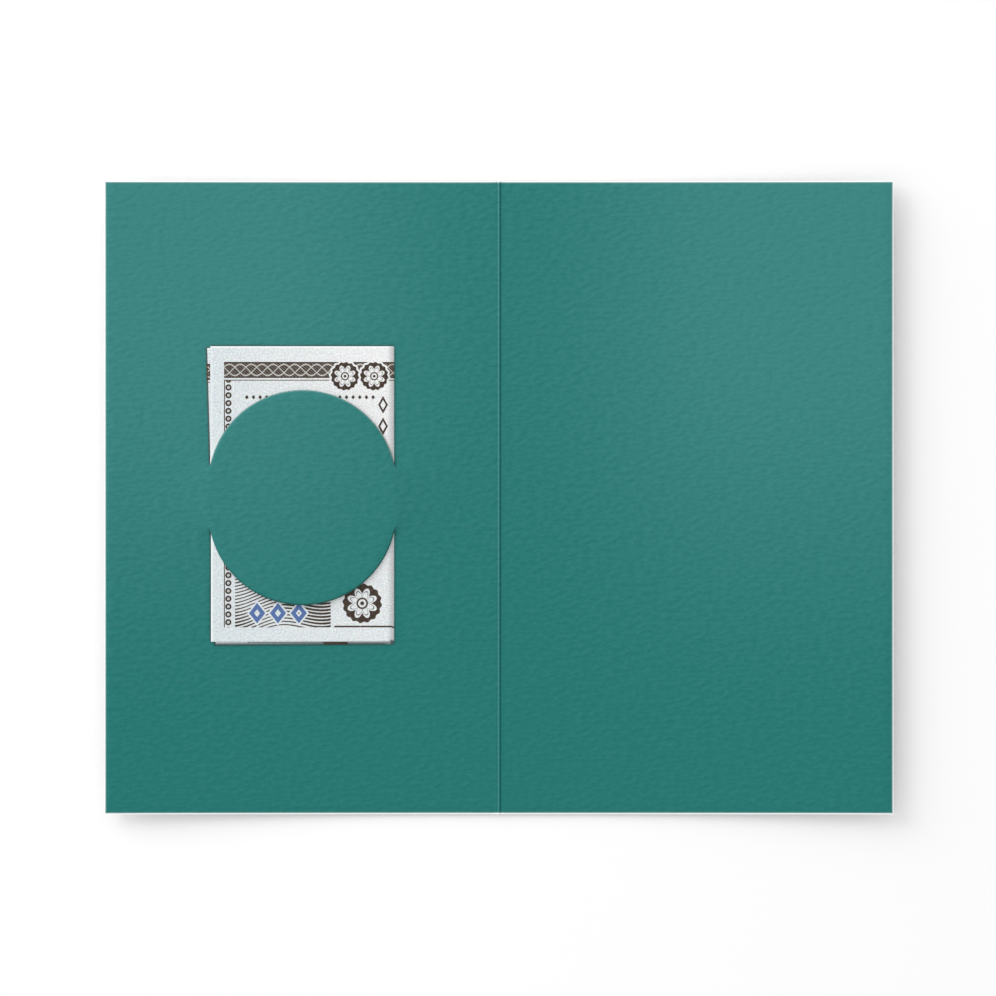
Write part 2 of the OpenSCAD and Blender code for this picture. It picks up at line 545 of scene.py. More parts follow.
def printed_stock():
    """Teal ink on felt-marked stock, with painted sheen towards the upper outer corners and painted
    shade at the crease and the foot.
    """
    material, tree, shader = paper_shader("printed_stock", roughness=0.62, specular=0.18)
    x, y = flat_place(tree)
    marks = felt(x, y)
    fibre = noise(x, y, scale=5.0, detail=2.0, roughness=0.6)
    # painted sheen and shade: paler teal towards the upper outer corners, darker at the crease and the
    # foot
    tone = painted_sheen_and_shade(x, y) + (marks - 0.5) * FELT_SWAY + (fibre - 0.5) * FIBRE_SWAY
    ink = coloured(tree, tone, TEAL_DEEP, TEAL_PALE)
    # painted shade in the crease's valley: darker teal beside the ridge
    valley_shade = stroke(x - VALLEY_X, VALLEY_W, CREASE_SOFT) * VALLEY_SHADE
    ink = coloured(tree, valley_shade, ink, CREASE_SHADE_TEAL)
    ridge = stroke(x - RIDGE_X, RIDGE_W, CREASE_SOFT) * RIDGE_WORN
    ink = coloured(tree, ridge, ink, CORE_WHITE)
    disc_wear_and_highlight, disc_shade = disc_edge(x, y)
    # painted shade along the disc's lower right edge, away from the light
    ink = coloured(tree, disc_shade, ink, TEAL_SHADE)
    inset = (FACE_X - x.abs()).upto(FACE_H - y.abs())
    wear_and_highlight = (fading(inset, 0, EDGE_WORN_W) * EDGE_WORN).atleast(disc_wear_and_highlight)
    feed(tree, coloured(tree, wear_and_highlight, ink, CORE_WHITE), shader.inputs["Base Color"])
    bump(tree, shader, marks + fibre * INK_NAP, strength=1.0, distance=FELT_DEPTH)
    return material


def stock_core():
    """White fibrous core of the stock, where it was cut."""
    material, tree, shader = paper_shader("stock_core", roughness=0.85, specular=0.15)
    x, y = flat_place(tree)
    fibre = noise(x + y * CORE_SLANT, y - x * CORE_SLANT, scale=5.0, detail=3.0, roughness=0.6)
    feed(tree, coloured(tree, fibre, CORE_DULL, CORE_BRIGHT), shader.inputs["Base Color"])
    bump(tree, shader, fibre, strength=0.3, distance=0.04)
    return material


def bare_stock():
    """Unprinted outside of the stock, felt-marked like the inside."""
    material, tree, shader = paper_shader("bare_stock", roughness=0.8, specular=0.15)
    x, y = flat_place(tree)
    marks = felt(x, y)
    fibre = noise(x, y, scale=3.0, detail=3.0, roughness=0.6)
    cloud = noise(x, y, scale=0.15, detail=2.0)
    tone = (marks - 0.5) * BARE_FELT_SWAY + (fibre - 0.5) * BARE_FIBRE_SWAY + cloud
    feed(tree, coloured(tree, tone, BARE_DULL, BARE_BRIGHT), shader.inputs["Base Color"])
    bump(tree, shader, marks + fibre * BARE_NAP, strength=1.0, distance=FELT_DEPTH)
    return material


# Banknote's print, mirrored about its middle: u counts from the nearer end, v from the foot

SEPIA = linear(58, 46, 37)
WASH = linear(146, 118, 80)
BLUE = linear(56, 92, 152)
GREEN = linear(75, 105, 84)

# Each ink's share of cover, where it isn't full, and the relief of the ink and the fibres
GROUND_INK = 0.10
BAND_INK = 0.84
HATCH_INK = 0.22
STRAND_CLEAR = 0.6
RULE_INK = 0.9
BLUE_INK = 0.92
WAVES_INK = 0.5
GRAIN_BASE = 0.8
GRAIN_SWAY = 0.4
FIBRE_RELIEF = 0.5
INK_RELIEF = 0.3

# Margins and the band along the top, with its hatching and its braid of strands
MARGIN_SIDE = 3.1
MARGIN_FOOT = 3.2
MARGIN_TOP = 3.7
PRINT_TOP = NOTE_H - MARGIN_TOP
PRINT_MIDDLE = (PRINT_TOP + MARGIN_FOOT) / 2
PRINT_HALF = (PRINT_TOP - MARGIN_FOOT) / 2
BAND_H = 3.6
BAND_MIDDLE = PRINT_TOP - BAND_H / 2
RAIL_W = 0.28
HATCH_PITCH = 0.58
HATCH_SLANT = 0.8
HATCH_W = 0.34
HATCH_SOFT = 0.08
BRAID_TURN = 0.85
BRAID_SWING = 1.25
BRAID_PHASES = (0, 2.1, 4.2)
STRAND_W = 0.30
STRAND_SOFT = 0.06
RULE_GAP = 0.5
RULE_W = 0.22

# Flower: its scallops and petals round the turn, and radii as shares of its own
FLOWERS = [(30.4, 59.4, 3.3), (37.0, 59.4, 3.3), (34.3, 8.6, 4.6)]
SCALLOPS = 16
SCALLOP_D = 0.035
SCALLOP_R = 0.94
FLOWER_CLEAR = 1.07
PETAL_TURN = 4
PETAL_START = 0.44
PETAL_REACH = 0.32
PETAL_LINE = 0.15
PETAL_LINE_W = 0.05
EYE_R = 0.24
EYE_W = 0.09
EYE_DOT = 0.10
FLOWER_SOFT = 0.02

# Medallion: its rims, and its wreaths' middle, swing and waves, as shares of its radius
MEDALLION = (62.0, 33.2, 14.0)
MEDALLION_RIM = 0.97
MEDALLION_RIM_W = 0.03
MEDALLION_RIPPLES = 36
MEDALLION_RIPPLE_D = 0.012
MEDALLION_RULE = 0.90
MEDALLION_RULE_W = 0.016
MEDALLION_RULE_SOFT = 0.005
MEDALLION_CLEAR = 1.02
MEDALLION_CLEAR_SOFT = 0.01
WREATHS = [(0.66, 0.20, 12), (0.28, 0.14, 8)]
WREATH_PHASES = (0, 1.57, 3.14, 4.71)
WREATH_W = 0.018
WREATH_SOFT = 0.006

# Chain of beads up the side, waves along the foot, and a rule beside them
CHAIN_U = 4.1
CHAIN_PITCH = 1.75
BEAD_R = 0.50
BEAD_W = 0.42
BEAD_DOT = 0.10
BEAD_DOT_SOFT = 0.05
CHAIN_RULE_U = MARGIN_SIDE + 0.1
CHAIN_RULE_W = 0.26
WAVE_PITCH = 0.74
WAVE_TURN = 0.30
WAVE_SWING = 1.1
WAVE_SLANT = 0.10
WAVE_HALF_W = 0.14
WAVE_SOFT = 0.1
SWELL_U = 0.23
SWELL_V = 0.31
SWELL = 0.06
WAVES_U = 16.4
WAVES_HALF_W = 10.8
WAVES_HALF_H = 10
FOOT_RULE_W = 0.4
FOOT_RULE_END = 28.0

# Diamonds: a row of small ones, and a pair of larger ones
ROW_PITCH = 1.5
ROW_V = 54.7
ROW_SIZE = 0.52
ROW_SLIM = 1.2
ROW_MIDDLE = 22.5
ROW_HALF = 15
PAIR_U = 39.0
PAIR_V = 45.8
PAIR_PITCH = 4.8
PAIR_SIZE = 2.0
PAIR_SLIM = 1.8
HOLLOW_W = 0.9

# Blue lozenges, and the white outline that they keep clear
LOZENGE_FIRST = 10.6
LOZENGE_PITCH = 4.7
LOZENGE_START = LOZENGE_FIRST - LOZENGE_PITCH / 2
LOZENGE_ROW = 1.5 * LOZENGE_PITCH
LOZENGE_V = 6.4
LOZENGE_SIZE = 2.3
LOZENGE_SLIM = 1.25
LOZENGE_SCALE = 0.62
LOZENGE_OUT = 0.36
LOZENGE_IN = 1.26

# Dashes on the feet of two inner layers, which show below the front one
MARK_FACE_U = 111.1
MARK_REVERSE_U = 136.3
MARK_HALF = 2.8
MARK_H = 0.36

# Fine waves over the whole face, and those of the reverse with the rule round them
GROUND_PITCH = 0.62
GROUND_TURN = 0.5
GROUND_SWING = 0.9
GROUND_W = 0.16
REVERSE_PITCH = 0.8
REVERSE_TURN = 0.35
REVERSE_SWING = 1.6
REVERSE_W = 0.26
FINE_SOFT = 0.08
REVERSE_INSET = 0.9
REVERSE_RULE = 0.4
REVERSE_RULE_W = 0.5


def polar(u, v, middle_u, middle_v, radius):
    """Distance from a middle as a share of a radius, and the angle about it."""
    across, up = u - middle_u, v - middle_v
    return hypot(across, up) / radius, up.math("ARCTAN2", across)


def flower(u, v, middle_u, middle_v, radius):
    """White flower in a scalloped dark disc: its ink, and the place that it keeps clear."""
    r, turn = polar(u, v, middle_u, middle_v, radius)
    scallops = r + waving(turn, SCALLOPS, SCALLOP_D)
    petals = r - waving(turn, PETAL_TURN, PETAL_REACH).abs() - PETAL_START
    ground = filled(scallops - SCALLOP_R, FLOWER_SOFT) * (1 - filled(petals, FLOWER_SOFT))
    lines = stroke(petals + PETAL_LINE, PETAL_LINE_W, FLOWER_SOFT)
    eye = stroke(r - EYE_R, EYE_W, FLOWER_SOFT)
    ink = most([ground, lines, eye, filled(r - EYE_DOT, FLOWER_SOFT)])
    return ink, filled(scallops - FLOWER_CLEAR, FLOWER_SOFT)


def medallion(u, v):
    """Interlaced rings inside a scalloped rim: their ink, and the place that they keep clear."""
    r, turn = polar(u, v, *MEDALLION)
    rim = r - MEDALLION_RIM + waving(turn, MEDALLION_RIPPLES, MEDALLION_RIPPLE_D)
    lines = [stroke(rim, MEDALLION_RIM_W, WREATH_SOFT),
             stroke(r - MEDALLION_RULE, MEDALLION_RULE_W, MEDALLION_RULE_SOFT)]
    for phase in WREATH_PHASES:
        for middle, swing, waves in WREATHS:
            wreath = r - middle - waving(turn, waves, swing, phase)
            lines.append(stroke(wreath, WREATH_W, WREATH_SOFT))
    return most(lines), filled(r - MEDALLION_CLEAR, MEDALLION_CLEAR_SOFT)


def braid_band(u, v):
    """Dark band along the top, hatched, with white strands that cross in it, and a rule below."""
    up = v - BAND_MIDDLE
    ground = filled(up.abs() - BAND_H / 2)
    hatch = stroke((u * HATCH_SLANT + v).cell(HATCH_PITCH), HATCH_W, HATCH_SOFT)
    strands = most(stroke(up - waving(u, BRAID_TURN, BRAID_SWING, phase), STRAND_W, STRAND_SOFT)
                   for phase in BRAID_PHASES)
    rails = stroke(up.abs() - BAND_H / 2 + RAIL_W / 2, RAIL_W)
    rule = stroke(up + BAND_H / 2 + RULE_GAP, RULE_W)
    tone = (hatch * HATCH_INK + BAND_INK) * (1 - strands * STRAND_CLEAR)
    return most([ground * tone, rails, rule * RULE_INK])


def bead_chain(u, v):
    """Column of beads beside a rule, up the side."""
    r = hypot(u - CHAIN_U, v.cell(CHAIN_PITCH))
    beads = stroke(r - BEAD_R, BEAD_W).atleast(filled(r - BEAD_DOT, BEAD_DOT_SOFT))
    rule = stroke(u - CHAIN_RULE_U, CHAIN_RULE_W)
    reach = filled(MARGIN_FOOT - v) * filled(v - PRINT_TOP + BAND_H + RULE_GAP)
    return beads.atleast(rule) * reach


def engraved_waves(u, v):
    """Swelling lines across the foot, as an engraver shades a ground."""
    line = (v + waving(u, WAVE_TURN, WAVE_SWING) - u * WAVE_SLANT).cell(WAVE_PITCH)
    half = (u * SWELL_U + v * SWELL_V).sin() * SWELL + WAVE_HALF_W
    across = filled((u - WAVES_U).abs() - WAVES_HALF_W)
    upright = filled((v - MARGIN_FOOT - WAVES_HALF_H).abs() - WAVES_HALF_H)
    return fading(line.abs(), half, half + WAVE_SOFT) * (across * upright)


def diamonds(u, v):
    """Small diamonds in a row under the band, and two larger ones near the fold."""
    small = u.cell(ROW_PITCH).abs() * ROW_SLIM + (v - ROW_V).abs() - ROW_SIZE
    row = filled(small) * filled((u - ROW_MIDDLE).abs() - ROW_HALF)
    large = (u - PAIR_U).abs() * PAIR_SLIM + (v - PAIR_V).cell(PAIR_PITCH).abs() - PAIR_SIZE
    pair = filled((v - PAIR_V - PAIR_PITCH).abs() - PAIR_PITCH)
    return row.atleast(stroke(large + HOLLOW_W / 2, HOLLOW_W) * pair)


def lozenges(u, v):
    """Three hollow blue lozenges in a row: their ink, and the white outline round them."""
    start = u - LOZENGE_START
    row = filled((start - LOZENGE_ROW).abs() - LOZENGE_ROW)
    slant = start.cell(LOZENGE_PITCH).abs() * LOZENGE_SLIM + (v - LOZENGE_V).abs()
    shape = (slant - LOZENGE_SIZE) * LOZENGE_SCALE
    ink = stroke(shape + HOLLOW_W / 2, HOLLOW_W)
    clear = filled(shape - LOZENGE_OUT) * (1 - filled(shape + LOZENGE_IN))
    return ink * row, clear * row


def foot_mark(u, v, middle_u):
    """Dark dash at the foot of an inner layer, which shows below the front one."""
    return filled((u - middle_u).abs() - MARK_HALF) * filled(v - MARK_H)


def note_print(tree):
    """Sepia and blue ink of the note's face."""
    whole_u, v = flat_place(tree)
    u = whole_u.mirrored(NOTE_L / 2)
    blue, outline = lozenges(u, v)
    fine = stroke((v + waving(u, GROUND_TURN, GROUND_SWING)).cell(GROUND_PITCH), GROUND_W, FINE_SOFT)
    foot_rule = stroke(v - MARGIN_FOOT - FOOT_RULE_W / 2, FOOT_RULE_W) * filled(FOOT_RULE_END - u)
    sepia = most([fine * GROUND_INK, engraved_waves(u, v), foot_rule, braid_band(u, v),
                  bead_chain(u, v), diamonds(u, v)]) * (1 - outline)
    for ink, clear in [flower(u, v, *place) for place in FLOWERS] + [medallion(u, v)]:
        sepia = (sepia * (1 - clear)).atleast(ink)
    inside = filled(MARGIN_SIDE - u) * filled((v - PRINT_MIDDLE).abs() - PRINT_HALF)
    return whole_u, v, (sepia * inside).atleast(foot_mark(whole_u, v, MARK_FACE_U)), blue


# Note's paper: its tones, from cool to warm along each quarter and towards the top, a painted shade
# darker at the left of each quarter and at the foot

PAPER_COOL = (0.622, 0.682, 0.704, 1)
PAPER_WARM = (0.770, 0.778, 0.778, 1)
PAPER_EDGE = (0.880, 0.940, 0.940, 1)
PAINTED_SHADE_GREY = (0.200, 0.230, 0.235, 1)
INNER_FOOT_SHADOW = (0.030, 0.060, 0.058, 1)
OUTLINE_SHADOW = (0.020, 0.050, 0.048, 1)
QUARTER = NOTE_L / 4
WARM_LOW = 0.4
WARM_HIGH = 0.6
WARM_TOP = 0.12
CLOUD_SWAY = 0.6
SPECKLE_SCALE = 2.4
SPECKLE_SHIFT = 40  # keeps the grey speckles apart from the coloured ones
SPECKLE_HUES = 0.32
SPECKLE_STRENGTH = 0.36

# Strips of painted highlight and painted shade along its edges and folds, as distances from them, and
# how strong they are
LOW_HALF = (30, 36)  # heights between which the lower half gives way to the upper
HIGHLIGHT_STRIP = (0.3, 0.75)
HIGHLIGHT_TOP = 0.9
HIGHLIGHT_SIDE = 0.3
HIGHLIGHT_LOW_SIDE = 0.6  # added on the lower half
FOOT_STRIP = (0.0, 0.3)
FOOT_SHADE_RUN_IN = 5
FOOT_SHADED = 0.15
FOOT_SHADED_LATER = 0.55  # added towards the outer fold
CUT_SHADED = 0.8
FOLD_U = 41.5  # place of the outer fold along the sheet
FOLD_STRIP = (0.3, 1.7)
FOLD_SHADED = 0.45
INNER_FOOT_STRIP = (0.2, 0.75)
INNER_FOOT_RUN_IN = (FOLD_U - 1.3, FOLD_U - 0.5)
INNER_FOOT_SHADED = 0.9
INNER_FOLD_U = (122, 124)
INNER_FOLD_LESS = 0.35  # taken off past the inner fold
TOP_SHADOW_STRIP = (0.17, 0.26)
SIDE_SHADOW_STRIP = (0.17, 0.25)
CENTRE_SHADOW_STRIP = (0.26, 0.36)
OUTLINE_SHADOW_STRENGTH = 0.95


def speckled(colour, u, v):
    """A colour with fine speckles, a third of them in other hues."""
    tree = u.tree
    grey = noise(u + SPECKLE_SHIFT, v, SPECKLE_SCALE, detail=1.0, roughness=0.6)
    hues = noise(u, v, SPECKLE_SCALE, detail=1.0, roughness=0.6, output="Color")
    node = tree.nodes.new("ShaderNodeMix")
    node.data_type = "RGBA"
    node.blend_type = "LINEAR_LIGHT"
    node.inputs["Factor"].default_value = SPECKLE_STRENGTH
    return mixed(node, colour, coloured(tree, SPECKLE_HUES, grey, hues))


def note_paper(u, v):
    """Speckled paper with painted light: cooler and darker at the left of each quarter and towards the
    foot, painted shade at the foot and folds, painted shadow on the inner feet and round the top, the
    lower sides and the centre fold, and a painted highlight along the top and the ends.
    """
    tree = u.tree
    side, top = u.upto(NOTE_L - u), NOTE_H - v
    height = v / NOTE_H
    low = fading(v, *LOW_HALF)
    cloud = noise(u, v, scale=0.5, detail=2.0)
    # painted shade: cooler, darker paper at the left of each quarter and towards the foot
    tone = u.mirrored(QUARTER) / QUARTER * (height * WARM_HIGH + WARM_LOW) + height * WARM_TOP
    paper = coloured(tree, tone + (cloud - 0.5) * CLOUD_SWAY, PAPER_COOL, PAPER_WARM)
    paper = speckled(paper, u, v)
    # painted highlight along the top and the ends, the edges towards the light
    highlight_side = fading(side, *HIGHLIGHT_STRIP) * (low * HIGHLIGHT_LOW_SIDE + HIGHLIGHT_SIDE)
    highlight_top = fading(top, *HIGHLIGHT_STRIP) * HIGHLIGHT_TOP
    paper = coloured(tree, highlight_side.atleast(highlight_top), paper, PAPER_EDGE)
    # painted shade darkening the note's foot, stronger towards the outer fold
    foot_shade = eased(u, FOOT_SHADE_RUN_IN, FOLD_U) * FOOT_SHADED_LATER + FOOT_SHADED
    paper = coloured(tree, fading(v, *FOOT_STRIP) * foot_shade, paper, PAINTED_SHADE_GREY)
    # painted shade along the outer fold
    paper = coloured(tree, fading((u - FOLD_U).abs(), *FOLD_STRIP) * FOLD_SHADED, paper, PAINTED_SHADE_GREY)
    # painted shadow of the front layer on the inner layers' feet below it
    inner_foot_shadow = fading(v, *INNER_FOOT_STRIP) * eased(u, *INNER_FOOT_RUN_IN)
    inner_shade = INNER_FOOT_SHADED - eased(u, *INNER_FOLD_U) * INNER_FOLD_LESS
    paper = coloured(tree, inner_foot_shadow * inner_shade, paper, INNER_FOOT_SHADOW)
    # painted shadow: a dark line round the top, the lower sides and the centre fold, where the note
    # meets the card
    outline = most([fading(top, *TOP_SHADOW_STRIP), fading(side, *SIDE_SHADOW_STRIP) * low,
                    fading((u - CENTRE_U).abs(), *CENTRE_SHADOW_STRIP)])
    return coloured(tree, outline * OUTLINE_SHADOW_STRENGTH, paper, OUTLINE_SHADOW)


def note_fibre(u, v):
    """Fine grain of the note's paper."""
    return noise(u, v, SPECKLE_SCALE, detail=2.0, roughness=0.7)


def note_face():
    """The note's printed face: speckled paper, sepia line work and a blue accent."""
    material, tree, shader = paper_shader("note_face", roughness=0.7, specular=0.2)
    u, v, sepia, blue = note_print(tree)
    fibre = note_fibre(u, v)
    cover = (sepia * (fibre * GRAIN_SWAY + GRAIN_BASE)).upto(1)
    inked = coloured(tree, cover, note_paper(u, v), coloured(tree, cover, WASH, SEPIA))
    inked = coloured(tree, blue * BLUE_INK, inked, BLUE)
    feed(tree, inked, shader.inputs["Base Color"])
    relief = fibre * FIBRE_RELIEF + sepia * INK_RELIEF
    bump(tree, shader, relief, strength=0.3, distance=0.03)
    return material


def note_reverse():
    """The note's other face: the same paper with fine green waves inside a rule."""
    material, tree, shader = paper_shader("note_reverse", roughness=0.7, specular=0.2)
    u, v = flat_place(tree)
    inset = (u.upto(NOTE_L - u) - MARGIN_SIDE).upto(v.upto(NOTE_H - v) - MARGIN_FOOT)
    fine = (v + waving(u, REVERSE_TURN, REVERSE_SWING)).cell(REVERSE_PITCH)
    waves = stroke(fine, REVERSE_W, FINE_SOFT) * WAVES_INK * inset.above(REVERSE_INSET)
    ink = waves.atleast(stroke(inset - REVERSE_RULE, REVERSE_RULE_W))
    green = coloured(tree, ink, note_paper(u, v), GREEN)
    marked = coloured(tree, foot_mark(u, v, MARK_REVERSE_U), green, SEPIA)
    feed(tree, marked, shader.inputs["Base Color"])
    bump(tree, shader, note_fibre(u, v), strength=0.3, distance=0.03)
    return material


def note_edge():
    """Cut edge of the note's paper, with painted shade at the foot."""
    material, tree, shader = paper_shader("note_edge", roughness=0.85, specular=0.1)
    u, v = flat_place(tree)
    edge = coloured(tree, noise(u, v, scale=3.0, detail=2.0), PAPER_COOL, PAPER_EDGE)
    # painted shade on the cut edge at the foot
    edge = coloured(tree, fading(v, *FOOT_STRIP) * CUT_SHADED, edge, PAINTED_SHADE_GREY)
    feed(tree, edge, shader.inputs["Base Color"])
    return material


# Card sheets

STOCK_MATERIALS = [printed_stock(), stock_core(), bare_stock()]
STOCK_SHARP = 22  # degrees between two faces from which their edge is sharp
OUTSIDE_V = 4 * HALF_H  # where the outside's pattern lies, apart from the inside's

# Spacing of points: along the outline, the crease, the arcs, and over the sheets
OUTLINE_STEP = 2.5
CREASE_STEP = 4
CREASE_LINES = 17
CREASE_REACH = 1.36
ARC_STEP = 0.7
ARC_LINE_START = NECK_HALF + 0.35
LEAF_GRID = 2.6
LEAF_GRID_GAP = 0.9
NECK_GRID = 0.8
NECK_GRID_GAP = 0.3
NECK_ZONE_H = 17
NECK_ZONE = (15, 42)
SEAM_GAP = 0.4
ON_SEAM = 0.001
LOBE_GRID = 1.6
LOBE_SEAM_GAP = 0.8
LOBE_EDGE_GAP = 0.9


def on_seam(point):
    """Whether a point lies on the line along which a lobe joins the disc's band."""
    x, y = point
    return abs(abs(y) - NECK_HALF) < ON_SEAM and abs(x - DISC_X) < ARC_R


def card_sheet(name, flat, top, under, core=None):
    """A closed sheet of card stock over flat triangles. core says where its white core shows."""
    points, triangles = flat
    used = sorted({i for face in triangles for i in face})
    number = {old: new for new, old in enumerate(used)}
    points = [points[i] for i in used]
    triangles = [tuple(number[i] for i in face) for face in triangles]
    count = len(points)
    corners = [(x, y, top(x, y)) for x, y in points] + [(x, y, under(x, y)) for x, y in points]
    faces, kinds, uvs = [], [], []
    for face in triangles:
        middle = [sum(points[i][axis] for i in face) / 3 for axis in (0, 1)]
        faces.append(face)
        kinds.append(CORE if core and core(*middle) else PRINTED)
        uvs += [points[i] for i in face]
    for face in triangles:
        faces.append(tuple(count + i for i in reversed(face)))
        kinds.append(BARE)
        uvs += [(-points[i][0], points[i][1] + OUTSIDE_V) for i in reversed(face)]
    rims = {}
    for face in triangles:
        for i, j in zip(face, face[1:] + face[:1]):
            if rims.pop((j, i), None) is None:
                rims[(i, j)] = True
    for i, j in rims:
        faces.append((i, count + i, count + j, j))
        kinds.append(PRINTED if on_seam(points[i]) and on_seam(points[j]) else CORE)
        uvs += [points[i], (points[i][0], points[i][1] + STOCK)]
        uvs += [(points[j][0], points[j][1] + STOCK), points[j]]
    return finish_mesh(name, corners, faces, STOCK_MATERIALS, kinds, uvs, STOCK_SHARP)


def rim_share(x, y):
    """How far out on the white rim a place lies: 0 or less on the printed face, 1 at the cut."""
    return max((abs(x) - FACE_X) / RIM_X, (abs(y) - FACE_H) / RIM_H)


def on_rim(x, y):
    """Whether a place lies on the white rim."""
    return rim_share(x, y) > 0


def arc_cut(x, y, distance):
    """Share of a die-cut arc's worn corner at a place, which runs out at the ends of the slit."""
    if abs(y) < NECK_HALF or abs(distance) > CUT_RIM:
        return 0
    return (1 - abs(distance) / CUT_RIM) * smooth((abs(y) - NECK_HALF) / TIP_FADE)


def edge_drop(x, y):
    """How far a leaf's inside face falls away at its cut edges."""
    outer = EDGE_DROP * max(0, rim_share(x, y))
    if x > 0:
        return outer
    return max(outer, CUT_DROP * arc_cut(x, y, disc_distance(x, y, ARC_R)))


def leaf_top(x, y):
    """Height of a leaf's inside face."""
    return lift(x) + STOCK + crease_profile(x) + (neck_rise(x, y) if x < 0 else 0) - edge_drop(x, y)


def leaf_under(x, y):
    """Height of a leaf's outside face."""
    return lift(x) + score(x) + (neck_rise(x, y) if x < 0 else 0)


def near_neck(x, y):
    """Whether a place lies where the necks bend the sheet, so that it needs more points."""
    return abs(y) < NECK_ZONE_H and NECK_ZONE[0] < abs(x - DISC_X) < NECK_ZONE[1]


def leaf_sheet(name, side):
    """One leaf from the middle of the crease outwards, the front one with its disc's band."""
    front = side < 0
    edge, face = side * SHEET_X, side * FACE_X
    outline = [(0, -SHEET_H), (edge, -SHEET_H), (edge, SHEET_H), (0, SHEET_H)]
    loops = [polygon(outline, OUTLINE_STEP)]
    lines = [through([(0, -FACE_H), (face, -FACE_H), (face, FACE_H), (0, FACE_H)], OUTLINE_STEP)]
    for i in range(1, CREASE_LINES + 1):
        x = side * CREASE_REACH * i / CREASE_LINES
        lines.append(through([(x, -FACE_H), (x, FACE_H)], CREASE_STEP))
    if front:
        loops += [half_moon(s, ARC_R, ARC_STEP) for s in (-1, 1)]
        lines += [arc_points(s, ARC_R + CUT_RIM, ARC_LINE_START, ARC_STEP) for s in (-1, 1)]

    def in_hole(x, y):
        return front and abs(y) > NECK_HALF and disc_distance(x, y, ARC_R) < 0

    def clear(x, y, gap):
        if abs(x) < CREASE_REACH + gap or abs(x) > FACE_X - gap or abs(y) > FACE_H - gap:
            return False
        if not front:
            return True
        near_arc = abs(disc_distance(x, y, ARC_R)) < gap + CUT_RIM and abs(y) > NECK_HALF - gap
        near_seam = abs(abs(y) - NECK_HALF) < SEAM_GAP and abs(x - DISC_X) < ARC_R
        return not (near_arc or near_seam or in_hole(x, y))

    def coarse(x, y):
        return clear(x, y, LEAF_GRID_GAP) and not (front and near_neck(x, y))

    def fine(x, y):
        return near_neck(x, y) and clear(x, y, NECK_GRID_GAP)

    low, high = (min(0, edge), -SHEET_H), (max(0, edge), SHEET_H)
    points = grid(low, high, LEAF_GRID, coarse)
    if front:
        points += grid(low, high, NECK_GRID, fine)
    flat = triangulate(loops, lines, points, lambda x, y: not in_hole(x, y))
    return card_sheet(name, flat, leaf_top, leaf_under, on_rim)


def lobe_sheet(name, side):
    """One free lobe of the disc, which springs up a little towards its tip."""
    radius = ARC_R - CUT
    tip = ARC_SHIFT + radius

    def under(x, y):
        return lift(x) + DISC_RISE + LOBE_SPRING * smooth((abs(y) - NECK_HALF) / (tip - NECK_HALF))

    def top(x, y):
        return under(x, y) + STOCK - CUT_DROP * arc_cut(x, y, disc_distance(x, y, radius))

    def inside(x, y):
        return disc_distance(x, y, radius) < 0 and side * y > NECK_HALF

    def clear(x, y):
        return side * y > NECK_HALF + LOBE_SEAM_GAP and disc_distance(x, y, radius) < -LOBE_EDGE_GAP

    points = grid((DISC_X - ARC_R, -tip), (DISC_X + ARC_R, tip), LOBE_GRID, clear)
    lines = [arc_points(side, radius - CUT_RIM, ARC_LINE_START, ARC_STEP)]
    flat = triangulate([half_moon(side, radius, ARC_STEP)], lines, points, inside)
    return card_sheet(name, flat, top, under)


front_sheet = leaf_sheet("front_sheet", -1)
back_sheet = leaf_sheet("back_sheet", 1)
upper_lobe = lobe_sheet("upper_lobe_sheet", 1)
lower_lobe = lobe_sheet("lower_lobe_sheet", -1)


# Banknote

FACE, REVERSE, EDGE = 0, 1, 2  # places of the note's materials on its sheet
NOTE_SHARP = 60

# Where the sheet's corners lie at each fold: the solids' places, and small shifts from them
panel_low, panel_high = node_box("note_front_panel")
centre_low, _ = node_box("note_centre_fold")
SKEW = 0.1
FOLD_REACH = 20.71
FOLD_ROUND = 0.9
FOLD_X = DISC_X + FOLD_REACH
FREE_TOP = panel_low.x - 0.02
FREE_FOOT = panel_low.x - 0.06
NOTE_TOP = panel_high.y + 0.53
NOTE_FOOT = panel_low.y - 0.1
BACK_DROP = 0.6
CENTRE_TOP = (centre_low.x - 0.26, NOTE_TOP - 0.42)
CENTRE_FOOT = (FREE_FOOT + 0.94, NOTE_FOOT - 0.8)
INNER_SHIFT = 0.05
TUCKED_W = 32.2

# Points along a row of the sheet: on a panel, on the tucked panel, round the outer and the other folds
PANEL_STEPS = 26
TUCKED_STEPS = 20
OUTER_STEPS = 12
INNER_STEPS = 8
NOTE_ROWS = 26
CENTRE_POINT = 2 * (PANEL_STEPS + 1) + (OUTER_STEPS - 1) + (INNER_STEPS // 2 - 1)


def fold_turn(centre, half_x, half_z, start, end, count):
    """Points of a fold, an ellipse's arc in the XZ plane."""
    points = []
    for i in range(1, count):
        turn = math.radians(between(i / count, start, end))
        points.append((centre[0] + half_x * math.cos(turn), centre[1] + half_z * math.sin(turn)))
    return points


def run(start, end, z, count):
    """Points of a panel at one height, both ends included."""
    return [(between(i / count, start, end), z) for i in range(count + 1)]


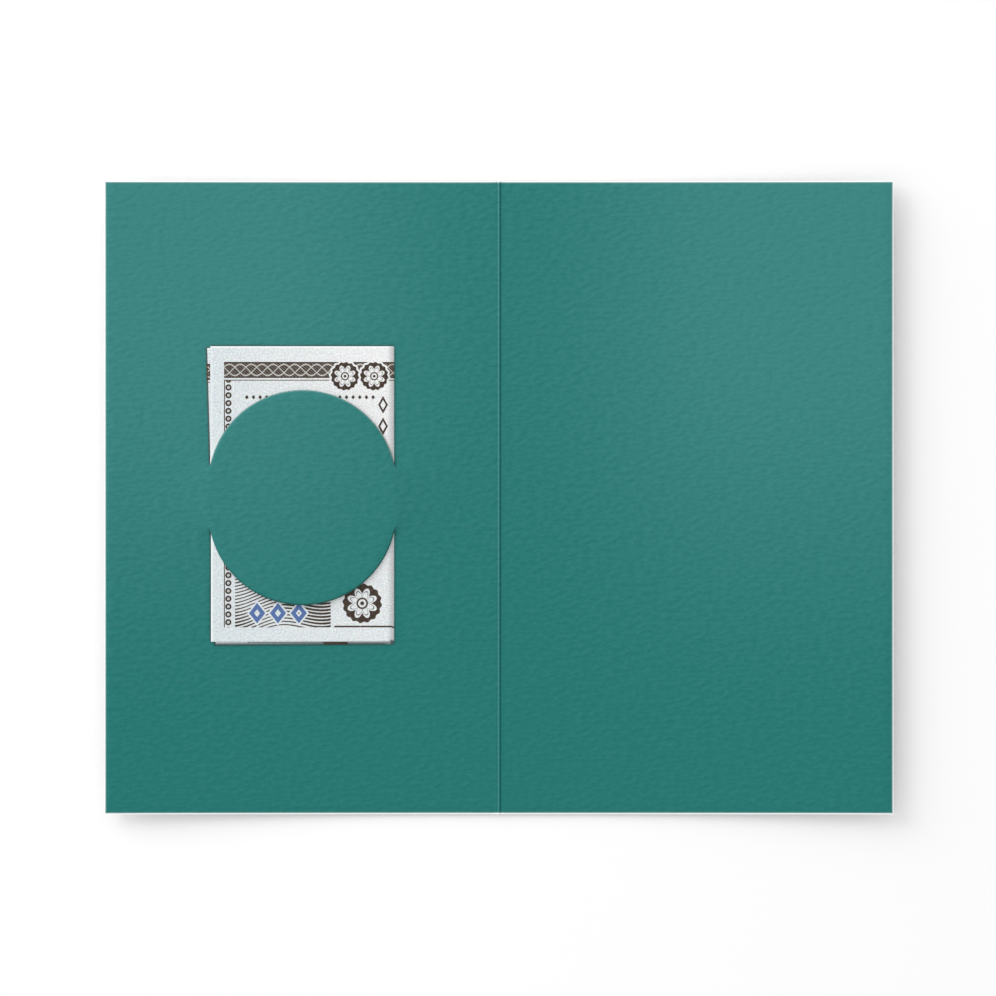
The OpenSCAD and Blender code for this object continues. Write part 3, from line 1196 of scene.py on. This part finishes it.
def note_row(share):
    """The folded sheet's middle line at a share of its height: x, height, and y at top and foot."""
    half = PLY_PITCH / 2
    back, middle, tuck, front = [NOTE_Z + NOTE_T / 2 + i * PLY_PITCH for i in range(4)]
    free_x = between(share, FREE_FOOT, FREE_TOP)
    outer_x = FOLD_X - NOTE_T / 2 - FOLD_ROUND
    centre_x = between(share, CENTRE_FOOT[0], CENTRE_TOP[0]) + NOTE_T / 2 + half
    inner_x = outer_x + INNER_SHIFT
    tucked_x = inner_x - TUCKED_W

    # The sheet's y at its top and foot, at the ends of each panel
    square = (NOTE_TOP, NOTE_FOOT)
    dropped = (NOTE_TOP - SKEW, NOTE_FOOT - BACK_DROP)
    leaning = (CENTRE_TOP[1], CENTRE_FOOT[1])
    tucked_in = (NOTE_TOP - 2 * SKEW, NOTE_FOOT - BACK_DROP / 2)
    last = (NOTE_TOP - 3 * SKEW, NOTE_FOOT - 2 * SKEW)

    outer_fold = fold_turn((outer_x, (back + front) / 2), FOLD_ROUND, 3 * half, 90, -90, OUTER_STEPS)
    centre_fold = fold_turn((centre_x, back + half), half, half, 270, 90, INNER_STEPS)
    inner_fold = fold_turn((inner_x, middle + half), half, half, -90, 90, INNER_STEPS)
    parts = [
        (run(free_x, outer_x, front, PANEL_STEPS), square, square),
        (outer_fold, square, dropped),
        (run(outer_x, centre_x, back, PANEL_STEPS), dropped, leaning),
        (centre_fold, leaning, leaning),
        (run(centre_x, inner_x, middle, PANEL_STEPS), leaning, dropped),
        (inner_fold, dropped, tucked_in),
        (run(inner_x, tucked_x, tuck, TUCKED_STEPS), tucked_in, last),
    ]
    row = []
    for path, start, end in parts:
        for i, (x, z) in enumerate(path):
            part = i / (len(path) - 1)
            row.append((x, z, between(part, start[0], end[0]), between(part, start[1], end[1])))
    return row


def lengths_along(path):
    """Length along the sheet at each point of a row."""
    along = [0]
    for a, b in zip(path, path[1:]):
        along.append(along[-1] + math.hypot(b[0] - a[0], b[1] - a[1]))
    return along


CENTRE_U = lengths_along(note_row(0.5))[CENTRE_POINT]


def note_sheet(name, rows):
    """One sheet of paper folded in four, with its face outwards at the outer fold."""
    paths = [note_row(j / rows) for j in range(rows + 1)]
    count = len(paths[0])
    along = lengths_along(paths[rows // 2])
    corners = {}
    for face in (1, -1):
        for j, path in enumerate(paths):
            for i, (x, z, top, foot) in enumerate(path):
                before, after = path[max(0, i - 1)], path[min(count - 1, i + 1)]
                run_x, run_z = after[0] - before[0], after[1] - before[1]
                length = math.hypot(run_x, run_z)
                x -= face * run_z / length * NOTE_T / 2
                z += face * run_x / length * NOTE_T / 2
                corners[face, j, i] = (x, between(j / rows, foot, top), z + lift(x))
    order = {key: n for n, key in enumerate(corners)}
    faces, kinds, uvs = [], [], []

    def add(keys, kind):
        faces.append([order[key] for key in keys])
        kinds.append(kind)
        uvs.extend((along[i], j / rows * NOTE_H) for _, j, i in keys)

    for j in range(rows):
        for i in range(count - 1):
            add([(1, j, i), (1, j, i + 1), (1, j + 1, i + 1), (1, j + 1, i)], FACE)
            add([(-1, j, i), (-1, j + 1, i), (-1, j + 1, i + 1), (-1, j, i + 1)], REVERSE)
        for i, first, last in ((0, -1, 1), (count - 1, 1, -1)):
            add([(first, j, i), (last, j, i), (last, j + 1, i), (first, j + 1, i)], EDGE)
    for j, first, last in ((0, -1, 1), (rows, 1, -1)):
        for i in range(count - 1):
            add([(first, j, i), (first, j, i + 1), (last, j, i + 1), (last, j, i)], EDGE)
    materials = [note_face(), note_reverse(), note_edge()]
    return finish_mesh(name, list(corners.values()), faces, materials, kinds, uvs, NOTE_SHARP)


banknote = note_sheet("banknote_sheet", NOTE_ROWS)


# The solids that each piece stands for, hidden, and the body that the banknote rides on


def at(x, y=0.0, z=0.0):
    """A point in metres from millimetres."""
    return (x * METRE, y * METRE, z * METRE)


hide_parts("front_leaf", "holder_band")
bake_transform(front_sheet)

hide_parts("back_leaf", "crease_strip")
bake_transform(back_sheet)

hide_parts("upper_flap")
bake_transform(upper_lobe)

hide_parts("lower_flap")
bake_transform(lower_lobe)

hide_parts("note_front_panel", "note_tucked_panel", "note_middle_panel",
            "note_back_panel", "note_outer_fold", "note_inner_fold", "note_centre_fold")
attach(banknote, "banknote")


# Floor, light and camera

# Floor: half its side in metres, and how far below the card it lies
FLOOR_HALF = 12.0
FLOOR_GAP = 0.50
FLOOR_WHITE = (0.92, 0.92, 0.92, 1)

# Studio: a surround that is brighter on the key light's side, and the key, low in the upper left.
# The key's power is in watts, its size and distance in metres.
SURROUND = 0.92
SURROUND_WHITE = (1, 1, 1, 1)
SURROUND_LEAN = 0.30
KEY_POWER = 6.7
KEY_SIZE = 1.0
KEY_DISTANCE = 1.1
KEY_HEIGHT = math.radians(24)
KEY_SWING = math.radians(144)

# The photograph looks straight down: its scale, and the pixels of the crease and the card's middle
PHOTO_PX = 996
MM_PER_PX = 0.2259
CREASE_PX = 499.0
MIDDLE_PX = 497.6
CAMERA_HEIGHT = 3000
CAMERA_FAR = 100  # in metres
SENSOR_W = 36


def floor():
    """Plain pale floor under the card."""
    mesh = bpy.data.meshes.new("floor")
    reach, depth = FLOOR_HALF, -FLOOR_GAP * METRE
    mesh.from_pydata([(-reach, -reach, depth), (reach, -reach, depth),
                      (reach, reach, depth), (-reach, reach, depth)], [], [(0, 1, 2, 3)])
    material, _, shader = paper_shader("floor_white", roughness=1.0, specular=0.0)
    shader.inputs["Base Color"].default_value = FLOOR_WHITE
    mesh.materials.append(material)
    plane = bpy.data.objects.new("floor", mesh)
    bpy.context.scene.collection.objects.link(plane)


def surround():
    """Soft white light from all round, which leans towards the key light."""
    world = bpy.data.worlds.new("surround")
    world.use_nodes = True
    tree = world.node_tree
    place = tree.nodes.new("ShaderNodeTexCoord")
    lean = tree.nodes.new("ShaderNodeVectorMath")
    lean.operation = "DOT_PRODUCT"
    tree.links.new(place.outputs["Generated"], lean.inputs[0])
    lean.inputs[1].default_value = (math.cos(KEY_SWING), math.sin(KEY_SWING), 0)
    strength = Wire(tree, lean.outputs["Value"]) * (SURROUND * SURROUND_LEAN) + SURROUND
    feed(tree, strength, tree.nodes["Background"].inputs["Strength"])
    tree.nodes["Background"].inputs["Color"].default_value = SURROUND_WHITE
    bpy.context.scene.world = world


def key_light():
    """Large soft lamp, low in the upper left."""
    key = bpy.data.lights.new("key", "AREA")
    key.shape = "DISK"
    key.size = KEY_SIZE
    key.energy = KEY_POWER
    lamp = bpy.data.objects.new("key", key)
    toward = Vector((math.cos(KEY_HEIGHT) * math.cos(KEY_SWING),
                     math.cos(KEY_HEIGHT) * math.sin(KEY_SWING), math.sin(KEY_HEIGHT)))
    lamp.location = toward * KEY_DISTANCE
    lamp.rotation_euler = toward.to_track_quat("Z", "Y").to_euler()
    lamp.visible_camera = False
    bpy.context.scene.collection.objects.link(lamp)


def camera():
    """Camera high above the card, with the photograph's framing."""
    lens = bpy.data.cameras.new("camera")
    lens.sensor_width = SENSOR_W
    lens.lens = SENSOR_W * CAMERA_HEIGHT / (PHOTO_PX * MM_PER_PX)
    lens.clip_end = CAMERA_FAR
    eye = bpy.data.objects.new("camera", lens)
    eye.location = at((PHOTO_PX / 2 - CREASE_PX) * MM_PER_PX,
                      (MIDDLE_PX - PHOTO_PX / 2) * MM_PER_PX, CAMERA_HEIGHT)
    bpy.context.scene.collection.objects.link(eye)
    bpy.context.scene.camera = eye


floor()
surround()
key_light()
camera()
bpy.context.scene.view_settings.view_transform = "Standard"
